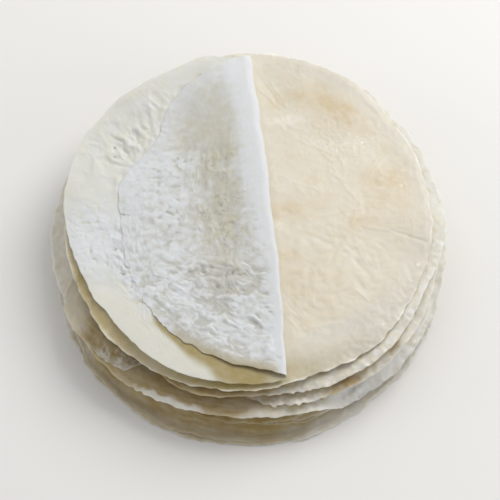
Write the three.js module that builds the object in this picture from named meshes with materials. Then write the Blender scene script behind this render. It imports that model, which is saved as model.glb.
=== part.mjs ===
// A loose stack of round, hand-made spring roll wrappers (thin wheat-flour skins).
// Every wrapper is its own thin closed solid. The wrappers lie one on another with their
// rims waving up and down, a little out of line with each other, and the topmost one has
// its right half turned back over its left half, so that its underside faces up.
//
// Millimetres, +Z up. The origin is on the resting surface, under the middle of the stack.
// +X is to the right and +Y away from the viewer, who stands in front of the open fold.
import * as THREE from "three";

// ---- driving sizes ------------------------------------------------------------------
const SKIN = 0.9; // thickness of one wrapper
const CLEAR = 0.85; // least air left between the topmost wrapper and the one below it
const PITCH = 2.4; // rise from one wrapper to the next in the middle of the stack
const SETTLE = 0.42; // share of that rise lost at the rim, where the edges sag together
const AXIS_Y = 3; // the middle of the stack, which leans a little away from the viewer
const RIM_FROM = 48; // distance from that middle where the rims begin to wave ...
const RIM_TO = 106; // ... and where they wave fully
const SEGMENTS = 42; // facets round a wrapper
const RINGS = [0.56, 0.89, 1]; // rings of facets, as shares of the radius

// Each flat wrapper from the bottom up:
//   centre x, y; radius; oval: how much longer one way, and that way in degrees;
//   lobes: how many bulges the outline has, how big, and their phase;
//   puff: how far its rim lifts off the one below; waves round the rim, and their phase;
//   tuck: how far the rim is drawn in on one side (less than 0: reaches out), and that side in degrees.
const WRAPPERS = [
  [0.0, -6.2, 107.0, 0.6, 20, 5, 0.5, 0.3, 0.0, 3, 0.0, 0, 0],
  [1.6, -3.4, 104.8, 1.0, 75, 4, 0.8, 1.9, 1.3, 5, 0.9, 1.5, 160],
  [-1.8, -2.2, 105.6, 0.9, 130, 6, 0.7, 4.1, 1.5, 4, 2.6, 2.5, 20],
  [1.9, -0.6, 102.6, 1.1, 10, 5, 0.9, 2.7, 1.4, 6, 4.4, -4, -122],
  [0.6, 0.6, 105.4, 0.8, 95, 7, 0.8, 5.2, 1.7, 3, 1.2, -3.5, -118],
  [-2.2, 1.4, 103.6, 1.2, 150, 5, 1.0, 0.8, 1.5, 5, 5.1, -5, -62],
  [0.4, 2.0, 106.4, 0.9, 40, 6, 0.9, 3.3, 1.9, 4, 3.7, -3, -50],
  [2.4, 3.2, 102.4, 1.0, 110, 4, 1.1, 1.1, 1.6, 7, 0.4, -5, -120],
  [0.6, 2.4, 106.8, 0.9, 25, 7, 1.1, 4.6, 2.0, 5, 2.2, -1.5, -103],
  [2.6, 5.0, 101.2, 1.1, 60, 5, 1.0, 2.2, 1.6, 4, 5.6, 8.5, -122],
  [3.8, 5.2, 103.0, 0.9, 140, 6, 1.1, 0.5, 1.9, 6, 1.5, 10, -124],
  [2.8, 6.6, 100.4, 1.2, 85, 4, 0.9, 3.8, 1.5, 3, 3.1, 9, -120],
  [3.0, 7.6, 102.8, 1.0, 15, 7, 1.0, 1.6, 2.0, 5, 4.0, -3, -112],
  [0.8, 8.2, 100.0, 1.0, 120, 5, 0.8, 5.0, 1.4, 6, 2.9, 5, -122],
  [-0.4, 8.6, 101.8, 1.9, 90, 5, 0.7, 2.4, 1.7, 4, 0.7, 0, 0],
];
const TUCK_SPREAD = 38; // degrees each way
// Where a torn, filmy rim reaches further out over the one below: wrapper (counted from 0), from and to in degrees,
// how far, and over how many degrees it starts and ends.
const FILMS = [
  [9, -170, -125, 15, 16, 4],
  [10, -98, -64, 6, 14, 14],
];
// Bays in a rim (less than 0: it reaches out): wrapper, direction and spread in degrees, depth.
const BAYS = [
  [0, -48, 22, 2.2],
  [0, -145, 25, 1.9],
  [1, -95, 60, 4],
  [2, -100, 60, 5],
  [3, -100, 60, 4],
  [4, -85, 55, -3.2],
  [5, -115, 40, 3],
  [5, -48, 26, 5],
  [6, -115, 40, 3.5],
  [6, -40, 30, 5],
  [7, -50, 22, 3],
  [8, -79, 6, 2.5],
  [8, 165, 18, -2],
  [8, -4, 14, -1.2],
  [8, -50, 18, -3.5],
  [10, -168, 26, 2.8],
  [10, -55, 16, -2],
  [11, -168, 26, 2.4],
  [11, -58, 30, 3.5],
  [12, -142, 22, 5],
  [12, -58, 20, -2],
  [13, -168, 26, 2.8],
  [13, -50, 30, 4],
  [14, -70, 15, 3.6],
  [14, -47, 10, -2],
  [14, -133, 9, -1.6],
  [14, -117, 9, -1.8],
  [14, 134, 24, 2.2],
  [14, 86, 16, -2.4],
  [14, 108, 10, 2.5],
];
const SAG_FROM_LAYER = 12; // from this wrapper up (counted from 0), the rims hang down at the front left ...
const SAG = 4; // ... by this much
const SAG_INNER = 93; // beginning this far from the middle of the wrapper below the fold ...
const SAG_OUTER = 104; // ... and fully this far
const SAG_SIDE = [-125, 27]; // about this direction, and its spread, in degrees
const TOP_PUFF = [1.2, 5, 3.4]; // the same three figures for the topmost, folded wrapper

// The topmost wrapper, in the flat: u runs across the fold to the right, v along it to the back.
const FOLD_X = 10.6; // a point of the fold line, seen from above
const FOLD_Y = 8.3;
const FOLD_LEAN = THREE.MathUtils.degToRad(5.7); // the fold's back end stands this far to the left
const FOLD_BOW = 2.4; // and the fold's middle bulges to the right by this much
const TOP_R = 99.5; // its radius
const TOP_OFF = 11; // how far its middle lies to the left of the fold
const FLAP_SHORT = 6; // how much less it reaches on the turned side
const FLAP_DENT = [7.5, 36, 10]; // a flat in that side's outline: depth, direction and spread in degrees
const FLAP_CORNER = [3, 16, 5]; // and the blunt corner beside it
const LEFT_FLAT = [3.6, -152, 20]; // and another flat at the left, in the half below
// Where it reaches further out (less than 0: less far): how far, direction and spread in degrees.
const REACHES = [
  [4, 98, 9],
  [2.6, 122, 22],
  [5.4, 146, 20],
  [2.2, 170, 10],
  [-2, -52, 8],
];
const FOLD_R_FRONT = 3.6; // radius of the fold's round back at the front ...
const FOLD_R_BACK = 4.8; // ... and at the back
const FLAP_REST = SKIN + 0.5; // where the flap lies down on the half below
const FLAP_RUN = 46; // how far from the fold it takes to come down
const FLAP_LIFT = 2.6; // the front edge of the flap stands up by this much more
const ROWS = 24; // facets along the fold
const COLUMNS = [7, 6, 8]; // facets across: half below, round of the fold, flap

// ---- shape functions ----------------------------------------------------------------
const smooth = (t) => {
  const c = Math.min(1, Math.max(0, t));
  return c * c * (3 - 2 * c);
};
const bell = (x, width) => Math.exp(-((x / width) ** 2));

// Degrees between a direction (in radians) and a side, -180 to 180.
const wayOff = (angle, side) => THREE.MathUtils.euclideanModulo(THREE.MathUtils.radToDeg(angle) - side + 180, 360) - 180;

// How far a wrapper lies above the one under it, at a place.
function rise(base, settle, puff, waves, phase, x, y) {
  const round = Math.atan2(y - AXIS_Y, x);
  const w = smooth((Math.hypot(x, y - AXIS_Y) - RIM_FROM) / (RIM_TO - RIM_FROM)) ** 2;
  const lift =
    0.5 + 0.5 * Math.sin(waves * round + phase) + 0.35 * (0.5 + 0.5 * Math.sin((2 * waves + 1) * round + 1.7 * phase));
  return base * (1 - settle * w) + puff * w * lift;
}

// Height of the middle of wrapper i's thickness.
function height(i, x, y) {
  let z = SKIN / 2;
  for (let k = 1; k <= i; k++) {
    const [puff, waves, phase] = WRAPPERS[k].slice(8, 11);
    z += rise(PITCH, SETTLE, puff, waves, phase, x, y);
  }
  return z;
}

// How far the upper rims hang down at a place.
function sag(x, y) {
  const [cx, cy] = WRAPPERS[WRAPPERS.length - 1];
  const deg = THREE.MathUtils.euclideanModulo(THREE.MathUtils.radToDeg(Math.atan2(y - cy, x - cx)), 360) - 360;
  return SAG * bell(deg - SAG_SIDE[0], SAG_SIDE[1]) * smooth((Math.hypot(x - cx, y - cy) - SAG_INNER) / (SAG_OUTER - SAG_INNER));
}

// Outline of wrapper i: its radius in a direction.
function outline(i, angle) {
  const [, , r, oval, dir, lobes, size, phase, , , , tuck, side] = WRAPPERS[i];
  const off = (d) => wayOff(angle, d);
  let extra = 0;
  for (const [k, from, to, far, start, end] of FILMS) if (k === i) extra += far * smooth(off(from) / start) * smooth(-off(to) / end);
  for (const [k, at, spread, deep] of BAYS) if (k === i) extra -= deep * bell(off(at), spread);
  return (
    r +
    extra -
    tuck * bell(off(side), TUCK_SPREAD) +
    oval * Math.cos(2 * (angle - THREE.MathUtils.degToRad(dir))) +
    size * Math.sin(lobes * angle + phase) +
    0.5 * size * Math.sin((lobes + 4) * angle + 2 * phase)
  );
}

// A flat wrapper: a thin turned disc of radius 1, then stretched to its outline and laid on the pile.
function flatWrapper(i) {
  const [cx, cy] = WRAPPERS[i];
  const below = RINGS.map((f) => new THREE.Vector2(f, -SKIN / 2));
  const above = RINGS.map((f) => new THREE.Vector2(f, SKIN / 2)).reverse();
  const profile = [new THREE.Vector2(0, -SKIN / 2), ...below, ...above, new THREE.Vector2(0, SKIN / 2)];
  const g = new THREE.LatheGeometry(profile, SEGMENTS);
  g.rotateX(Math.PI / 2); // the turning axis upright
  const p = g.getAttribute("position");
  for (let n = 0; n < p.count; n++) {
    const share = Math.hypot(p.getX(n), p.getY(n));
    const angle = Math.atan2(p.getY(n), p.getX(n));
    const r = share * outline(i, angle);
    const x = cx + r * Math.cos(angle);
    const y = cy + r * Math.sin(angle);
    p.setXYZ(n, x, y, height(i, x, y) - (i < SAG_FROM_LAYER ? 0 : sag(x, y)) + p.getZ(n));
  }
  return g;
}

// Outline of the topmost wrapper in the flat: radius about its own middle, angle from u towards v.
function topOutline(angle) {
  const turned = Math.max(0, Math.cos(angle)) ** 2;
  const bulge = ([far, side, spread]) => far * bell(wayOff(angle, side), spread);
  return (
    TOP_R -
    FLAP_SHORT * turned -
    bulge(FLAP_DENT) -
    bulge(LEFT_FLAT) +
    bulge(FLAP_CORNER) +
    REACHES.reduce((sum, one) => sum + bulge(one), 0)
  );
}

// Where the outline crosses the line v = const, on the left (side -1) or the right (side +1).
function topEdge(v, side) {
  let lo = -Math.PI / 2;
  let hi = Math.PI / 2;
  const at = (a) => topOutline(side > 0 ? a : Math.PI - a);
  for (let n = 0; n < 50; n++) {
    const mid = (lo + hi) / 2;
    if (at(mid) * Math.sin(mid) < v) lo = mid;
    else hi = mid;
  }
  return -TOP_OFF + side * at(lo) * Math.cos(lo);
}

// A point of the topmost wrapper's middle surface, from its place in the flat.
function folded(u, v) {
  const r = FOLD_R_FRONT + (FOLD_R_BACK - FOLD_R_FRONT) * smooth((v + TOP_R) / (2 * TOP_R));
  const quarter = (Math.PI / 2) * r;
  let p; // across the fold, seen from above
  let z; // above the half below
  if (u <= -quarter) {
    p = u + quarter - r;
    z = 0;
  } else if (u <= quarter) {
    p = r * Math.cos(u / r) - r;
    z = r + r * Math.sin(u / r);
  } else {
    const s = u - quarter;
    p = -r - s;
    z = FLAP_REST + (2 * r - FLAP_REST) * (1 - smooth(s / FLAP_RUN));
    z += FLAP_LIFT * bell(v + TOP_R, 16) * bell(s - 16, 22);
  }
  p += FOLD_BOW * (1 - (v / TOP_R) ** 2) * Math.max(0, 1 + p / TOP_R);
  const x = FOLD_X + p * Math.cos(FOLD_LEAN) - v * Math.sin(FOLD_LEAN);
  const y = FOLD_Y + p * Math.sin(FOLD_LEAN) + v * Math.cos(FOLD_LEAN);
  const base = height(WRAPPERS.length - 1, x, y) + rise(SKIN + CLEAR, 0, ...TOP_PUFF, x, y);
  return new THREE.Vector3(x, y, base + z);
}

// The topmost wrapper: a flat slab of facets, cut to its outline and turned over along the fold.
function foldedWrapper() {
  const across = COLUMNS[0] + COLUMNS[1] + COLUMNS[2];
  const g = new THREE.BoxGeometry(across, ROWS, SKIN, across, ROWS, 1);
  const p = g.getAttribute("position");
  const place = (column, row) => {
    const v = TOP_R * 0.999 * Math.sin(THREE.MathUtils.degToRad(-85 + (170 * row) / ROWS));
    const left = topEdge(v, -1);
    const right = topEdge(v, 1);
    const quarter = (Math.PI / 2) * FOLD_R_BACK;
    const a = Math.min(-quarter, left + 0.7 * (right - left));
    const b = Math.min(quarter, a + 0.7 * (right - a));
    if (column <= COLUMNS[0]) return [left + ((a - left) * column) / COLUMNS[0], v];
    if (column <= COLUMNS[0] + COLUMNS[1]) return [a + ((b - a) * (column - COLUMNS[0])) / COLUMNS[1], v];
    return [b + ((right - b) * (column - COLUMNS[0] - COLUMNS[1])) / COLUMNS[2], v];
  };
  const step = 0.4;
  const du = new THREE.Vector3();
  const dv = new THREE.Vector3();
  for (let n = 0; n < p.count; n++) {
    const [u, v] = place(Math.round(p.getX(n) + across / 2), Math.round(p.getY(n) + ROWS / 2));
    du.subVectors(folded(u + step, v), folded(u - step, v));
    dv.subVectors(folded(u, v + step), folded(u, v - step));
    const at = folded(u, v).addScaledVector(du.cross(dv).normalize(), p.getZ(n));
    p.setXYZ(n, at.x, at.y, at.z);
  }
  return g;
}

// ---- the stack ------------------------------------------------------------------------
const cream = new THREE.MeshStandardMaterial({ name: "cream", color: 0xe4dec9, roughness: 0.62, metalness: 0 });
const browned = new THREE.MeshStandardMaterial({ name: "browned", color: 0xe5dcc6, roughness: 0.5, metalness: 0 });
const floury = new THREE.MeshStandardMaterial({ name: "floury", color: 0xdedcd6, roughness: 0.75, metalness: 0 });

const stack = new THREE.Group();
stack.name = "spring_roll_wrapper_stack";
WRAPPERS.forEach((_, i) => {
  const top = i === WRAPPERS.length - 1;
  const mesh = new THREE.Mesh(flatWrapper(i), top ? browned : cream);
  mesh.name = "wrapper_" + String(i + 1).padStart(2, "0");
  stack.add(mesh);
});
const turned = new THREE.Mesh(foldedWrapper(), floury);
turned.name = "wrapper_folded";
stack.add(turned);

export default stack;
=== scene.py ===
"""A loose stack of hand-made round spring roll wrappers, the topmost one half folded over.
Every wrapper is one thin closed skin with its own wavy, ragged rim, blisters and creases."""
import math
import bpy
import numpy as np
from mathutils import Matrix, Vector


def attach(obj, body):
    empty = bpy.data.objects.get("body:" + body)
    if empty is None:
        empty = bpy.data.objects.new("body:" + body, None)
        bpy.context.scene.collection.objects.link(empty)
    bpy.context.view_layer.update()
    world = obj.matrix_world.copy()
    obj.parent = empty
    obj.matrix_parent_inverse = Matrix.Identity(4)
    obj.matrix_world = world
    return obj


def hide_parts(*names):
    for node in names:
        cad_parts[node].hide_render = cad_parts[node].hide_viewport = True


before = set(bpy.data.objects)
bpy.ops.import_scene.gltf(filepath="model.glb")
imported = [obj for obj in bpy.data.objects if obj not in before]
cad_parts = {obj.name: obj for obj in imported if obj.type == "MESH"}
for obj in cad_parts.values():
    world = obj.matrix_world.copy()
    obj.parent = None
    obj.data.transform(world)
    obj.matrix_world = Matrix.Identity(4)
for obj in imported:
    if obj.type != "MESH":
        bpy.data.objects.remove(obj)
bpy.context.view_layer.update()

# ---- sizes of the solids, in millimetres ------------------------------------------------
PITCH, SETTLE = 2.4, 0.42
AXIS_Y, RIM_FROM, RIM_TO = 3.0, 48.0, 106.0
# centre x, y; radius; oval, its way; lobes, size, phase; puff, waves, phase; tuck, its side
WRAPPERS = [
    (0.0, -6.2, 107.0, 0.6, 20, 5, 0.5, 0.3, 0.0, 3, 0.0, 0, 0),
    (1.6, -3.4, 104.8, 1.0, 75, 4, 0.8, 1.9, 1.3, 5, 0.9, 1.5, 160),
    (-1.8, -2.2, 105.6, 0.9, 130, 6, 0.7, 4.1, 1.5, 4, 2.6, 2.5, 20),
    (1.9, -0.6, 102.6, 1.1, 10, 5, 0.9, 2.7, 1.4, 6, 4.4, -4, -122),
    (0.6, 0.6, 105.4, 0.8, 95, 7, 0.8, 5.2, 1.7, 3, 1.2, -3.5, -118),
    (-2.2, 1.4, 103.6, 1.2, 150, 5, 1.0, 0.8, 1.5, 5, 5.1, -5, -62),
    (0.4, 2.0, 106.4, 0.9, 40, 6, 0.9, 3.3, 1.9, 4, 3.7, -3, -50),
    (2.4, 3.2, 102.4, 1.0, 110, 4, 1.1, 1.1, 1.6, 7, 0.4, -5, -120),
    (0.6, 2.4, 106.8, 0.9, 25, 7, 1.1, 4.6, 2.0, 5, 2.2, -1.5, -103),
    (2.6, 5.0, 101.2, 1.1, 60, 5, 1.0, 2.2, 1.6, 4, 5.6, 8.5, -122),
    (3.8, 5.2, 103.0, 0.9, 140, 6, 1.1, 0.5, 1.9, 6, 1.5, 10, -124),
    (2.8, 6.6, 100.4, 1.2, 85, 4, 0.9, 3.8, 1.5, 3, 3.1, 9, -120),
    (3.0, 7.6, 102.8, 1.0, 15, 7, 1.0, 1.6, 2.0, 5, 4.0, -3, -112),
    (0.8, 8.2, 100.0, 1.0, 120, 5, 0.8, 5.0, 1.4, 6, 2.9, 5, -122),
    (-0.4, 8.6, 101.8, 1.9, 90, 5, 0.7, 2.4, 1.7, 4, 0.7, 0, 0),
]
LAST = len(WRAPPERS) - 1
TUCK_SPREAD = 38.0
SAG_FROM_LAYER, SAG, SAG_INNER, SAG_OUTER, SAG_SIDE = 12, 4.0, 93.0, 104.0, (-125.0, 27.0)
TOP_PUFF = (1.2, 5, 3.4)
FOLD_X, FOLD_Y, FOLD_LEAN, FOLD_BOW = 10.6, 8.3, math.radians(5.7), 2.4
TOP_R, TOP_OFF, FLAP_SHORT = 99.5, 11.0, 6.0
FLAP_DENT, FLAP_CORNER, LEFT_FLAT = (7.5, 36.0, 10.0), (3.0, 16.0, 5.0), (3.6, -152.0, 20.0)
REACHES = [(4.0, 98.0, 9.0), (2.6, 122.0, 22.0), (5.4, 146.0, 20.0), (2.2, 170.0, 10.0), (-2.6, -57.0, 11.0), (-3.6, -75.0, 10.0)]
FOLD_R_FRONT, FOLD_R_BACK = 1.3, 4.8
FLAP_RUN, FLAP_RUN_FRONT, FLAP_LIFT = 46.0, 26.0, 0.2

# ---- sizes of the visible skins ---------------------------------------------------------
FILM = 0.5  # thickness away from the rim
EDGE = 0.2  # thickness of the dried rim
SEAT = 1.25  # the topmost wrapper's rise over the one below
FLAP_REST = 1.3  # the flap's rise over the half below
# torn, lacy stretches of rim: wrapper (from 0) to direction and spread in degrees, and depth
TEARS = {9: (-136, 11, 0.8), 10: (-81, 8, 1.2), 11: (-74, 8, 1.2), 12: (-80, 9, 1.0), 8: (-120, 7, 1.0), 7: (-66, 7, 1.2)}
# crumpled stretches of rim, likewise, and how far they stand up and down
CRUMPLES = [(9, -138, 16, 0.8), (10, -80, 14, 1.5), (11, -68, 14, 1.4), (12, -72, 14, 0.8), (8, -106, 22, 0.9), (6, -58, 16, 1.2), (5, -75, 16, 0.9), (13, -55, 14, 0.6), (4, -120, 20, 0.8), (2, -100, 22, 0.7), (12, -44, 20, 0.9), (10, -50, 18, 1.1), (8, -44, 22, 1.1), (14, -48, 24, 0.45)]

# thin torn films that reach out over the rim below: from one direction to another, how far, and how slowly they start and end
FILMS = {9: (-170, -124, 15.0, 16, 7), 10: (-98, -64, 6.0, 14, 14)}
# small bays in a rim (less than 0: it reaches out): direction, spread and depth
BAYS = [
    (0, -48, 22, 2.2),
    (0, -145, 25, 1.9),
    (1, -95, 60, 4.0),
    (2, -100, 60, 5.0),
    (3, -100, 60, 4.0),
    (4, -85, 55, -3.2),
    (5, -115, 40, 3.0),
    (5, -48, 26, 5.0),
    (6, -115, 40, 3.5),
    (6, -40, 30, 5.0),
    (7, -50, 22, 3.0),
    (8, -79, 6, 2.5),
    (8, 165, 18, -2.0),
    (8, -4, 14, -1.2),
    (8, -50, 18, -3.5),
    (10, -168, 26, 2.8),
    (10, -55, 16, -2.0),
    (11, -168, 26, 2.4),
    (11, -58, 30, 3.5),
    (12, -142, 22, 5.0),
    (12, -58, 20, -2.0),
    (13, -168, 26, 2.8),
    (13, -50, 30, 4.0),
    (14, -70, 15, 3.6),
    (14, -47, 10, -2.0),
    (14, -133, 9, -1.6),
    (14, -117, 9, -1.8),
    (14, 134, 24, 2.2),
    (14, 86, 16, -2.4),
    (14, 108, 10, 2.5),
]
# rims that fall over those below like a drape: from one direction to another, how far, and from how far in
DRAPES = {4: (-180, -12, 10.0, 14.0), 8: (-74, -8, 11.0, 12.0), 14: (-84, -14, 1.8, 12.0)}
# places where a rim dips on to those below: wrapper, direction, spread and depth
DIPS = [(12, -63, 6, 1.3), (12, -39, 6, 1.2), (10, -51, 7, 1.6), (10, -34, 6, 1.0), (8, -60, 7, 1.4), (12, -86, 5, 1.0), (10, -108, 6, 1.0)]
# painted shade in the hollows between two rims: direction, spread, strength, and how far out they reach
SHADED_HOLLOWS = [(-78, 6, 0.5, 6), (-65, 3.5, 0.85, 6.5), (-61, 4.0, 1.0, 7.0), (-43, 3, 0.5, 4)]
# stretches of rim that have dried white, likewise, and how wide
DRY = [(8, -114, 12, 4.5), (8, -53, 16, 11.0), (9, -131, 9, 13.0), (10, -80, 12, 7.0), (6, -50, 14, 5.0)]


# ---- noise --------------------------------------------------------------------------------
def lattice(ix, iy, seed):
    h = ix.astype(np.int64).astype(np.uint32) * np.uint32(0x9E3779B1)
    h = h ^ (iy.astype(np.int64).astype(np.uint32) * np.uint32(0x85EBCA77))
    h = h ^ np.uint32((seed * 0xC2B2AE3D + 0x27D4EB2F) & 0xFFFFFFFF)
    h = (h ^ (h >> np.uint32(15))) * np.uint32(0x2C1B3C6D)
    h = (h ^ (h >> np.uint32(12))) * np.uint32(0x297A2D39)
    h = h ^ (h >> np.uint32(15))
    return h.astype(np.float64) / 4294967296.0


def noise(x, y, seed):
    """Smooth gradient noise, about -1 to 1."""
    ix, iy = np.floor(x), np.floor(y)
    fx, fy = x - ix, y - iy
    ux = fx * fx * fx * (fx * (fx * 6 - 15) + 10)
    uy = fy * fy * fy * (fy * (fy * 6 - 15) + 10)

    def corner(dx, dy):
        a = lattice(ix + dx, iy + dy, seed) * (2 * np.pi)
        return np.cos(a) * (fx - dx) + np.sin(a) * (fy - dy)

    low = corner(0, 0) * (1 - ux) + corner(1, 0) * ux
    high = corner(0, 1) * (1 - ux) + corner(1, 1) * ux
    return 1.5 * (low * (1 - uy) + high * uy)


def fbm(x, y, seed, octaves=3, gain=0.5):
    total, amp, norm = 0.0, 1.0, 0.0
    for o in range(octaves):
        total = total + amp * noise(x * 2**o + 17.3 * o, y * 2**o - 9.1 * o, seed + 31 * o)
        norm += amp
        amp *= gain
    return total / norm


def folds(x, y, seed):
    """Rounded lumps with sharp grooves between them, about -0.5 to 1."""
    return 2.2 * np.abs(noise(x, y, seed)) - 0.55


def ridges(x, y, seed, sharp=4.0):
    """Thin raised lines, 0 to 1."""
    return np.clip(1 - np.abs(noise(x, y, seed)), 0, 1) ** sharp


def smooth(t):
    t = np.clip(t, 0, 1)
    return t * t * (3 - 2 * t)


def bell(x, width):
    return np.exp(-((x / width) ** 2))


def turned(x, y, degrees):
    c, s = math.cos(math.radians(degrees)), math.sin(math.radians(degrees))
    return x * c + y * s, y * c - x * s


def spot(x, y, cx, cy, rx, ry=None, turn=0.0):
    """A soft round or oval spot, 1 in its middle."""
    a, b = turned(x - cx, y - cy, turn)
    return np.exp(-((a / rx) ** 2) - (b / (ry or rx)) ** 2)


def stroke(x, y, ends, width, fade=0.15):
    """Along a line between two places: 1 on it, fading out at the ends; and which side of it a place lies on."""
    x0, y0, x1, y1 = ends
    run = math.hypot(x1 - x0, y1 - y0)
    cx, cy = (x1 - x0) / run, (y1 - y0) / run
    t = ((x - x0) * cx + (y - y0) * cy) / run
    off = (y - y0) * cx - (x - x0) * cy
    along = smooth((t + fade) / (2 * fade)) * smooth((1 + fade - t) / (2 * fade))
    return along * bell(off, width), along * np.clip(off / width, -3, 3) * bell(off, 1.6 * width)


def way_off(angle, side):
    """Degrees between a direction and a side, -180 to 180."""
    return (np.degrees(angle) - side + 180) % 360 - 180


# ---- the pile ---------------------------------------------------------------------------
def rim_weight(x, y):
    return smooth((np.hypot(x, y - AXIS_Y) - RIM_FROM) / (RIM_TO - RIM_FROM)) ** 2


def rise(base, settle, puff, waves, phase, x, y):
    way = np.arctan2(y - AXIS_Y, x)
    w = rim_weight(x, y)
    lift = 0.5 + 0.5 * np.sin(waves * way + phase) + 0.35 * (0.5 + 0.5 * np.sin((2 * waves + 1) * way + 1.7 * phase))
    return base * (1 - settle * w) + puff * w * lift


def layer_rise(k, x, y):
    return rise(PITCH, SETTLE, *WRAPPERS[k][8:11], x, y)


def sag(x, y):
    cx, cy = WRAPPERS[LAST][:2]
    deg = np.degrees(np.arctan2(y - cy, x - cx)) % 360 - 360
    return SAG * bell(deg - SAG_SIDE[0], SAG_SIDE[1]) * smooth((np.hypot(x - cx, y - cy) - SAG_INNER) / (SAG_OUTER - SAG_INNER))


def lean(i, x, y):
    """Each rim leans up to the one above or down to the one below, by less than half the gap."""
    n = 1.5 * noise(x / 36 + 3.7 * i, y / 36 - 2.9 * i, 100 + i) + 0.6 * noise(x / 14 - i, y / 14 + i, 200 + i)
    pair = 0 if i == LAST else 0.6 if i % 2 == 0 else -0.6  # two and two cling together
    n = np.clip(pair + n, -1, 1) * rim_weight(x, y)
    above = layer_rise(i + 1, x, y) - FILM - 0.1 if i < LAST else 0.9
    below = layer_rise(i, x, y) - FILM - 0.1 if i else 0.1
    return 0.46 * np.where(n > 0, n * above, n * below)


def height(i, x, y):
    z = np.full(x.shape, FILM / 2 + 0.05)
    for k in range(1, i + 1):
        z = z + layer_rise(k, x, y)
    return z + lean(i, x, y)


def outline(i, angle):
    _, _, r, oval, way, lobes, size, phase, _, _, _, tuck, side = WRAPPERS[i]
    return (
        r
        - tuck * bell(way_off(angle, side), TUCK_SPREAD)
        + oval * np.cos(2 * (angle - math.radians(way)))
        + size * np.sin(lobes * angle + phase)
        + 0.5 * size * np.sin((lobes + 4) * angle + 2 * phase)
    )


def reach(i, angle):
    """Outline of a skin with its thin films and small bays."""
    r = outline(i, angle)
    if i in FILMS:
        r = r + FILMS[i][2] * smooth(way_off(angle, FILMS[i][0]) / FILMS[i][3]) * smooth(-way_off(angle, FILMS[i][1]) / FILMS[i][4])
    for k, side, spread, deep in BAYS:
        if k == i:
            r = r - deep * bell(way_off(angle, side), spread)
    return r


def ragged(i, angle, r, much=1.0):
    """The torn, uneven rim: waves of several lengths, a few small nicks and here and there a torn fringe."""
    x, y = np.cos(angle) * r, np.sin(angle) * r
    edge = 0.8 * noise(x / 26, y / 26, 300 + i) + 0.85 * noise(x / 9, y / 9, 320 + i) + 0.45 * noise(x / 4, y / 4, 340 + i) + 0.16 * noise(x / 1.8, y / 1.8, 350 + i)
    nick = np.clip(noise(x / 9, y / 9, 360 + i) - 0.68, 0, 1) * 5
    tear = 0.0
    if i in TEARS:
        side, spread, deep = TEARS[i]
        lace = np.clip(0.5 + 1.1 * noise(x / 3.2, y / 3.2, 380 + i) + 0.5 * noise(x / 1.5, y / 1.5, 390 + i), 0, 1.4)
        tear = deep * bell(way_off(angle, side), spread) * lace
    return much * (edge - nick) - tear


def hang(i, way, depth):
    """How far a rim bends down: most at the front left, and in places elsewhere."""
    a, b = 105 * np.cos(way), 105 * np.sin(way)
    front = bell(way_off(way, -122), 46) if i > 7 else bell(way_off(way, -110), 90)
    some = smooth(0.3 + 1.2 * noise(a / 30 + i, b / 30, 450 + i))
    much = 0 if i == 0 else 1.4 if i == 8 else 3.2 if i > 8 else 5.5
    return np.maximum(much * (front + 0.5 * some * (1 - front)) * smooth(1 - depth / 11), drape(i, way, depth))


def drape(i, way, depth):
    if i not in DRAPES:
        return 0.0
    start, end, fall, run = DRAPES[i]
    here = smooth(way_off(way, start) / 18) * smooth(-way_off(way, end) / 18)
    return fall * here * smooth((1.3 if i == 4 else 1.0) * (1 - depth / run))


def surface(i, x, y):
    """Height of the middle of a skin as it lies: hanging at the rim, and held up by those below."""
    z = np.full(x.shape, FILM / 2 + 0.05)
    held = np.full(x.shape, -50.0)
    for k in range(i + 1):
        if k:
            z = z + layer_rise(k, x, y)
        if k < i - 4:
            continue
        cx, cy = WRAPPERS[k][:2]
        way = np.arctan2(y - cy, x - cx)
        depth = reach(k, way) - np.hypot(x - cx, y - cy)
        down = sag(x, y) if k >= SAG_FROM_LAYER else hang(k, way, depth)
        own = np.maximum(z + lean(k, x, y) - down + rim_relief(k, x, y, depth), held + FILM + 0.06)
        held = np.maximum(held, own - 1.5 * np.maximum(0, -depth))
    return own


def covered(i, x, y):
    """How far inside the rims above a place of wrapper i lies."""
    deep = np.full(x.shape, -50.0)
    for k in range(i + 1, min(i + 4, LAST + 1)):
        cx, cy = WRAPPERS[k][:2]
        deep = np.maximum(deep, reach(k, np.arctan2(y - cy, x - cx)) - np.hypot(x - cx, y - cy) - 1.5 * (k - i - 1))
    return deep


# ---- meshes -----------------------------------------------------------------------------
def stitch(a, m, b, n):
    """Triangles between an inner ring (m points from index a) and an outer one (n from b), seen from above."""
    if m == 1:
        j = np.arange(n)
        return np.stack([np.full(n, a), b + j, b + (j + 1) % n], 1)
    if m == n:
        j = np.arange(n)
        k = (j + 1) % n
        return np.concatenate([np.stack([a + j, b + j, b + k], 1), np.stack([a + j, b + k, a + k], 1)])
    if n == 2 * m:
        j = np.arange(m)
        k = (j + 1) % m
        o0, o1, o2 = b + 2 * j, b + 2 * j + 1, b + (2 * j + 2) % n
        return np.concatenate([np.stack([a + j, o0, o1], 1), np.stack([a + j, o1, a + k], 1), np.stack([a + k, o1, o2], 1)])
    k = n // 8
    out = []
    for s in range(8):
        j = np.arange(k)
        o0, o1 = b + s * k + j, b + (s * k + j + 1) % n
        inner = a + (s * (k - 1) + j) % m
        out.append(np.stack([inner, o0, o1], 1))
        j = np.arange(k - 1)
        out.append(np.stack([a + (s * (k - 1) + j) % m, b + (s * k + j + 1) % n, a + (s * (k - 1) + j + 1) % m], 1))
    return np.concatenate(out)


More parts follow.
